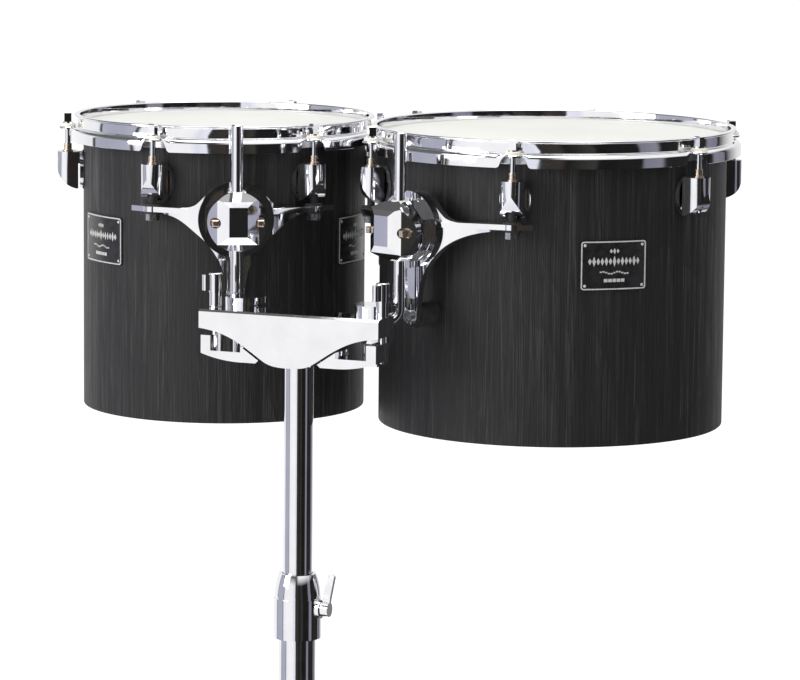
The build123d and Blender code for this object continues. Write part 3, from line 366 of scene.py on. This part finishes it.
def rounded_loop(half_u, half_v, corner):
    """Points round a rectangle with round corners, as many of them for any size."""
    corners = []
    for quarter, (sign_u, sign_v) in enumerate(((1, 1), (-1, 1), (-1, -1), (1, -1))):
        turns = [math.radians(90 * (quarter + k / CORNER_STEPS)) for k in range(CORNER_STEPS + 1)]
        corners.append([
            (sign_u * (half_u - corner) + corner * math.cos(turn),
             sign_v * (half_v - corner) + corner * math.sin(turn))
            for turn in turns
        ])
    loop = []
    for points, following in zip(corners, corners[1:] + corners[:1]):
        last, after = points[-1], following[0]
        loop += points
        loop += [
            (last[0] + (after[0] - last[0]) * k / EDGE_STEPS,
             last[1] + (after[1] - last[1]) * k / EDGE_STEPS)
            for k in range(1, EDGE_STEPS)
        ]
    return loop


def add_border(edit, side, angle):
    """Raised silver frame round the plate."""
    half_u, half_v = (half - BORDER_INSET for half in BADGE_HALF)
    outer = rounded_loop(half_u, half_v, BORDER_CORNER)
    inner = rounded_loop(half_u - BORDER_WIDTH, half_v - BORDER_WIDTH, BORDER_INNER_CORNER)
    low, high = BADGE_FACE - SINK, BADGE_FACE + BORDER_RISE
    rings = [
        [edit.verts.new(on_badge(side, angle, u, v, out)) for u, v in loop]
        for loop, out in ((outer, low), (outer, high), (inner, high), (inner, low))
    ]
    for lower, upper in zip(rings, rings[1:] + rings[:1]):
        join_loops(edit, lower, upper)


def add_raised(edit, side, angle, outline):
    """A small raised shape with upright sides."""
    low, high = (
        [edit.verts.new(on_badge(side, angle, u, v, out)) for u, v in outline]
        for out in (BADGE_FACE - SINK, BADGE_FACE + ORNAMENT_RISE)
    )
    edit.faces.new(high)
    edit.faces.new(low[::-1])
    join_loops(edit, low, high)


def lozenge(u, v, half_u, half_v):
    return [(u + half_u, v), (u, v + half_v), (u - half_u, v), (u, v - half_v)]


def bar(u, v, half_u, half_v):
    return [
        (u + half_u, v - half_v), (u + half_u, v + half_v),
        (u - half_u, v + half_v), (u - half_u, v - half_v),
    ]


def ornament():
    """Outlines of a generic pattern: lozenges, a wavy line of bars and a row of blocks."""
    for index in range(-6, 7):
        tall = 0.0047 - 0.0019 * abs(math.sin(index * 1.3))
        yield lozenge(index * 0.0036, ROW_V, 0.00155, tall)
    for index in range(-1, 2):
        tall = 0.0026 - 0.0008 * abs(index)
        yield lozenge(index * 0.0030, CREST_V, 0.0013, tall)
    for index in range(-5, 6):
        rise = 0.0009 * math.sin(index * 1.1)
        yield bar(index * 0.0024, WAVE_V + rise, 0.00095, 0.0006)
    for index in range(-2, 3):
        yield bar(index * 0.0038, FOOT_V, 0.0016, 0.0014)


def add_rivet(edit, side, angle, centre_u, centre_v):
    """A small dome on the plate."""
    loops = []
    for ring in range(RIVET_RINGS):
        tilt = ring / RIVET_RINGS * math.pi / 2
        wide = RIVET_RADIUS * math.cos(tilt)
        out = BADGE_FACE + RIVET_RISE * math.sin(tilt)
        turns = [math.tau * k / RIVET_SIDES for k in range(RIVET_SIDES)]
        loops.append([
            edit.verts.new(on_badge(
                side, angle, centre_u + wide * math.cos(turn), centre_v + wide * math.sin(turn), out
            ))
            for turn in turns
        ])
    for lower, upper in zip(loops, loops[1:]):
        join_loops(edit, lower, upper)
    edit.faces.new(loops[-1])


def build_badge_trim(side):
    """Both badges' frames, patterns and rivets, as one piece."""
    edit = bmesh.new()
    for angle in (-BADGE_ANGLE, BADGE_ANGLE):
        add_border(edit, side, angle)
        for outline in ornament():
            add_raised(edit, side, angle, outline)
        for sign_u in (-1, 1):
            for sign_v in (-1, 1):
                add_rivet(
                    edit, side, angle, sign_u * (BADGE_HALF[0] - RIVET_INSET),
                    sign_v * (BADGE_HALF[1] - RIVET_INSET),
                )
    bmesh.ops.recalc_face_normals(edit, faces=edit.faces)
    trim = finish_mesh(f"{side}_badge_trim", edit, materials["silver"])
    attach(trim, f"{side}_drum")


for side in RADIUS:
    build_badge_trim(side)


# ---------------------------------------------------------------- hoops
# A rolled hoop has a soft shoulder, and its skirt runs out in a slope beside each ear.
# Heights are above the shell's bottom, and the rest is out from the shell's wall.

HOOP_TOP = 0.2626
FLANGE_TOP = 0.2512
SKIRT_BOTTOM = 0.2395
SHEET = 0.0022              # thickness of the rolled sheet

LIP_INSIDE = 0.0010         # the flange's inner edge, over the flesh hoop
WALL_INSIDE = 0.0030
WALL_OUTSIDE = 0.0052
RIM_OUTSIDE = 0.0081
SKIRT_OUTSIDE = 0.0125
SKIRT_INSIDE = 0.0103

SHOULDER = 0.0045           # radius between flange and skirt
EAR_SHOULDER = 0.0008       # and beside an ear
COVE = 0.0010
RIM_CURL = 0.0010
RIM_UNDERCUT = 0.0008
RIM_UNDERSIDE = 0.0028      # the undercut's middle, below the top
RIM_EDGE = 0.0009
SMALLEST_TURN = 0.0001
SKIRT_EDGE = 0.0003
SKIRT_EDGE_DROP = 0.0002

ROD_CIRCLE = 0.0140
SKIRT_RISE = 0.0093         # how far the skirt stops short beside a rod
GAP_HALF = 0.0140           # half the skirt's gap, its slopes included
GAP_SLOPE = 0.0050
EAR_RADIUS = 0.0078
EAR_ROUND = 0.0006
EAR_PROUD = 0.00005

HOOP_STEPS = 480
EAR_STEPS = 32
CREASE = math.radians(32)


def arc(centre_r, centre_z, radius, start, stop, steps):
    """Points of a profile's arc, angles in degrees from straight out."""
    return [
        (centre_r + radius * math.cos(math.radians(start + (stop - start) * k / steps)),
         centre_z + radius * math.sin(math.radians(start + (stop - start) * k / steps)))
        for k in range(steps + 1)
    ]


def hoop_profile(ear):
    """The hoop's section outside the shell; ear goes from 0, plain, to 1, beside a rod."""
    turn = SHOULDER * (1 - ear) + EAR_SHOULDER * ear
    inside = max(turn - SHEET, SMALLEST_TURN)
    bottom = SKIRT_BOTTOM + SKIRT_RISE * ear
    under = FLANGE_TOP - SHEET
    loop = [
        (SKIRT_INSIDE, bottom), (SKIRT_INSIDE + SKIRT_EDGE, bottom - SKIRT_EDGE_DROP),
        (SKIRT_OUTSIDE - SKIRT_EDGE, bottom - SKIRT_EDGE_DROP), (SKIRT_OUTSIDE, bottom),
    ]
    loop += arc(SKIRT_OUTSIDE - turn, FLANGE_TOP - turn, turn, 0, 90, 8)
    loop += arc(WALL_OUTSIDE + COVE, FLANGE_TOP + COVE, COVE, 270, 180, 4)
    loop += arc(WALL_OUTSIDE + RIM_UNDERCUT, HOOP_TOP - RIM_UNDERSIDE, RIM_UNDERCUT, 180, 90, 3)
    loop += arc(RIM_OUTSIDE - RIM_CURL, HOOP_TOP - RIM_CURL, RIM_CURL, -60, 90, 6)
    loop += arc(WALL_INSIDE + RIM_EDGE, HOOP_TOP - RIM_EDGE, RIM_EDGE, 90, 180, 4)
    loop += [(WALL_INSIDE, FLANGE_TOP), (LIP_INSIDE, FLANGE_TOP), (LIP_INSIDE, under)]
    loop += arc(SKIRT_INSIDE - inside, under - inside, inside, 90, 0, 4)
    return loop


def ear_share(distance):
    """How much of an ear's section a point has at this distance along the hoop."""
    share = min(max((GAP_HALF - distance) / GAP_SLOPE, 0.0), 1.0)
    return share * share * (3 - 2 * share)


def add_ear(edit, side, angle):
    """The flat round tab at the rod's eye, with rounded edges."""
    centre_x, centre_y, top = beside_shell(side, angle, ROD_CIRCLE, FLANGE_TOP + EAR_PROUD)
    narrow = EAR_RADIUS - EAR_ROUND
    section = ((narrow, 0.0), (EAR_RADIUS, EAR_ROUND), (EAR_RADIUS, SHEET - EAR_ROUND), (narrow, SHEET))
    turns = [math.tau * k / EAR_STEPS for k in range(EAR_STEPS)]
    loops = [
        [edit.verts.new((centre_x + wide * math.cos(turn), centre_y + wide * math.sin(turn), top - drop))
         for turn in turns]
        for wide, drop in section
    ]
    for upper, lower in zip(loops, loops[1:]):
        join_loops(edit, lower, upper)
    edit.faces.new(loops[0])
    edit.faces.new(loops[-1][::-1])


def soften(edit):
    """Smooth shading, with the real edges kept sharp."""
    for face in edit.faces:
        face.smooth = True
    for edge in edit.edges:
        if len(edge.link_faces) == 2 and edge.calc_face_angle() > CREASE:
            edge.smooth = False


def build_hoop(side):
    edit = bmesh.new()
    spacing = math.tau / RODS
    rings = []
    for step in range(HOOP_STEPS):
        angle = math.tau * step / HOOP_STEPS
        from_rod = abs(angle - round(angle / spacing) * spacing)
        section = hoop_profile(ear_share(from_rod * (RADIUS[side] + SKIRT_OUTSIDE)))
        rings.append([
            edit.verts.new(beside_shell(side, angle + TURN[side], out, height))
            for out, height in section
        ])
    for here, after in zip(rings, rings[1:] + rings[:1]):
        for k in range(len(here)):
            beyond = (k + 1) % len(here)
            edit.faces.new((here[k], after[k], after[beyond], here[beyond]))
    for index in range(RODS):
        add_ear(edit, side, TURN[side] + index * spacing)
    bmesh.ops.recalc_face_normals(edit, faces=edit.faces)
    soften(edit)
    hoop = finish_mesh(f"{side}_rolled_hoop", edit, materials["chrome"])
    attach(hoop, f"{side}_drum")
    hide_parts(f"{side}_counterhoop")


for side in RADIUS:
    build_hoop(side)


# ---------------------------------------------------------------- camera

VIEW_AZIMUTH = math.radians(22.4)
VIEW_ELEVATION = math.radians(8.045)
VIEW_ROLL = math.radians(0.52)
VIEW_DISTANCE = 3.2
VIEW_ACROSS = 0.06691
VIEW_DROP = -2.09633
VIEW_BASE = Vector((0, 0, 2.8427))
LENS = 184.94


def view_axes():
    """Right, up and back of the camera."""
    back = Vector((
        math.sin(VIEW_AZIMUTH) * math.cos(VIEW_ELEVATION),
        -math.cos(VIEW_AZIMUTH) * math.cos(VIEW_ELEVATION),
        math.sin(VIEW_ELEVATION),
    ))
    level = Vector((math.cos(VIEW_AZIMUTH), math.sin(VIEW_AZIMUTH), 0.0))
    rise = back.cross(level)
    right = math.cos(VIEW_ROLL) * level + math.sin(VIEW_ROLL) * rise
    up = math.cos(VIEW_ROLL) * rise - math.sin(VIEW_ROLL) * level
    return right, up, back


def build_camera(right, up, back):
    data = bpy.data.cameras.new("camera")
    data.sensor_width = 36.0
    data.lens = LENS
    data.clip_end = 200.0
    camera = bpy.data.objects.new("camera", data)
    place = back * VIEW_DISTANCE + right * VIEW_ACROSS + up * VIEW_DROP + VIEW_BASE
    turn = Matrix((right, up, back)).transposed()
    camera.matrix_world = Matrix.Translation(place) @ turn.to_4x4()
    scene.collection.objects.link(camera)
    scene.camera = camera


# ---------------------------------------------------------------- studio
# The room round the object, fixed in the shared frame. Sight and soft light see a plain pale
# room; mirror-like reflections see the panels and the dark room that these stops describe.

LAVENDER = (0.42, 0.43, 0.52)
PALE_LAVENDER = (0.46, 0.47, 0.56)
SHADED_PANEL = (0.80, 0.82, 0.90)
PANEL_EDGE = (0.88, 0.90, 0.96)

LEFT_TO_RIGHT = [
    (0.0, LAVENDER), (0.024, PALE_LAVENDER), (0.027, 0.06), (0.034, 0.06),
    (0.037, (0.90, 0.91, 0.95)), (0.12, 1.0), (0.30, 1.0), (0.345, SHADED_PANEL),
    (0.405, PANEL_EDGE), (0.412, 0.030), (0.52, (0.045, 0.036, 0.030)), (0.56, 0.012),
    (0.70, (0.040, 0.040, 0.034)), (0.72, 0.010), (0.90, 0.012), (0.91, (0.20, 0.20, 0.25)),
    (0.96, (0.24, 0.24, 0.29)), (0.97, 0.012), (1.0, 0.02),
]
FRONT_TO_BACK = [(0.80, 0.0), (0.86, 0.42), (0.93, 0.80), (1.0, 0.90)]
CEILING = [(0.0, 0.16), (0.46, 0.10), (0.56, 0.95), (1.0, 1.0)]
CEILING_STARTS = [(0.62, 0.0), (0.72, 1.0)]

FLOOR_HALF = 60.0
FLOOR_COLOUR = (0.86, 0.86, 0.86, 1.0)
FLOOR_GLOW = 0.62
SKY_STRENGTH = 0.55
WHITE = (1.0, 1.0, 1.0, 1.0)

CENTRE = Vector((0.0, 0.15, 0.72))


def remap(tree, value):
    """From -1..1 to 0..1."""
    node = add_node(tree, "ShaderNodeMath", operation="MULTIPLY_ADD")
    node.inputs[1].default_value = 0.5
    node.inputs[2].default_value = 0.5
    tree.links.new(value, node.inputs[0])
    return node.outputs["Value"]


def dot(tree, vector, constant):
    node = add_node(tree, "ShaderNodeVectorMath", operation="DOT_PRODUCT")
    node.inputs[1].default_value = constant
    tree.links.new(vector, node.inputs[0])
    return node.outputs["Value"]


def studio_shade(tree, direction, right, back):
    """What polished metal sees: panels to the left and far behind, and a dark room to the right."""
    across = remap(tree, dot(tree, direction, (right.x, right.y, 0.0)))
    toward = remap(tree, dot(tree, direction, (-back.x, -back.y, 0.0)))
    height = remap(tree, dot(tree, direction, (0.0, 0.0, 1.0)))
    walls = add_node(tree, "ShaderNodeMix", data_type="RGBA", blend_type="LIGHTEN")
    walls.inputs["Factor"].default_value = 1.0
    tree.links.new(ramp(tree, across, LEFT_TO_RIGHT), walls.inputs[6])
    tree.links.new(ramp(tree, toward, FRONT_TO_BACK), walls.inputs[7])
    whole = add_node(tree, "ShaderNodeMix", data_type="RGBA")
    tree.links.new(ramp(tree, height, CEILING_STARTS), whole.inputs["Factor"])
    tree.links.new(walls.outputs[2], whole.inputs[6])
    tree.links.new(ramp(tree, across, CEILING), whole.inputs[7])
    return whole.outputs[2]


def pick_for_gloss(tree, usual, glossy):
    """One shader for sight and soft light, another for mirror-like reflections."""
    path = tree.nodes.new("ShaderNodeLightPath")
    mixed = tree.nodes.new("ShaderNodeMixShader")
    tree.links.new(path.outputs["Is Glossy Ray"], mixed.inputs["Fac"])
    tree.links.new(usual, mixed.inputs[1])
    tree.links.new(glossy, mixed.inputs[2])
    return mixed.outputs["Shader"]


def floor_material(right, back):
    """A pale, evenly glowing floor; to mirror-like reflections it shows painted panel reflections, which
    carry on the walls' panels out from under the object.
    """
    material, tree, shader = start_material("floor", Roughness=0.9, Specular_IOR_Level=0.1)
    shader.inputs["Base Color"].default_value = FLOOR_COLOUR
    shader.inputs["Emission Color"].default_value = WHITE
    shader.inputs["Emission Strength"].default_value = FLOOR_GLOW
    geometry = tree.nodes.new("ShaderNodeNewGeometry")
    offset = add_node(tree, "ShaderNodeVectorMath", operation="SUBTRACT")
    offset.inputs[1].default_value = (CENTRE.x, CENTRE.y, 0.0)
    unit = add_node(tree, "ShaderNodeVectorMath", operation="NORMALIZE")
    tree.links.new(geometry.outputs["Position"], offset.inputs[0])
    tree.links.new(offset.outputs["Vector"], unit.inputs[0])
    # Painted reflection: for mirror-like rays only, the floor glows with the studio's panels and dark
    # room, set by where on the floor each point lies.
    mirrored = tree.nodes.new("ShaderNodeEmission")
    tree.links.new(studio_shade(tree, unit.outputs["Vector"], right, back), mirrored.inputs["Color"])
    shade = pick_for_gloss(tree, shader.outputs["BSDF"], mirrored.outputs["Emission"])
    tree.links.new(shade, tree.nodes["Material Output"].inputs["Surface"])
    return material


def build_floor(right, back):
    edit = bmesh.new()
    bmesh.ops.create_grid(edit, x_segments=2, y_segments=2, size=FLOOR_HALF)
    floor = finish_mesh("floor", edit, floor_material(right, back))


def build_world(right, back):
    world = bpy.data.worlds.new("studio")
    scene.world = world
    world.use_nodes = True
    tree = world.node_tree
    tree.nodes.clear()
    output = tree.nodes.new("ShaderNodeOutputWorld")
    soft = tree.nodes.new("ShaderNodeBackground")
    soft.inputs["Color"].default_value = WHITE
    soft.inputs["Strength"].default_value = SKY_STRENGTH
    mirrored = tree.nodes.new("ShaderNodeBackground")
    coordinates = tree.nodes.new("ShaderNodeTexCoord")
    shade = studio_shade(tree, coordinates.outputs["Generated"], right, back)
    tree.links.new(shade, mirrored.inputs["Color"])
    surface = pick_for_gloss(tree, soft.outputs["Background"], mirrored.outputs["Background"])
    tree.links.new(surface, output.inputs["Surface"])


def add_area(name, offset, size, power):
    """A soft rectangular light that faces the object's middle."""
    data = bpy.data.lights.new(name, "AREA")
    data.shape = "RECTANGLE"
    data.size, data.size_y = size
    data.energy = power
    light = bpy.data.objects.new(name, data)
    place = CENTRE + offset
    light.matrix_world = Matrix.Translation(place) @ (
        (place - CENTRE).to_track_quat("Z", "Y").to_matrix().to_4x4()
    )
    scene.collection.objects.link(light)


right, up, back = view_axes()
build_camera(right, up, back)
build_floor(right, back)
build_world(right, back)
add_area("left_softbox", back * 1.1 - right * 1.9 + Vector((0, 0, 0.7)), (1.2, 1.6), 26.0)
add_area("overhead", back * 0.3 + Vector((0, 0, 1.9)), (1.8, 1.4), 24.0)
scene.view_settings.view_transform = "Standard"
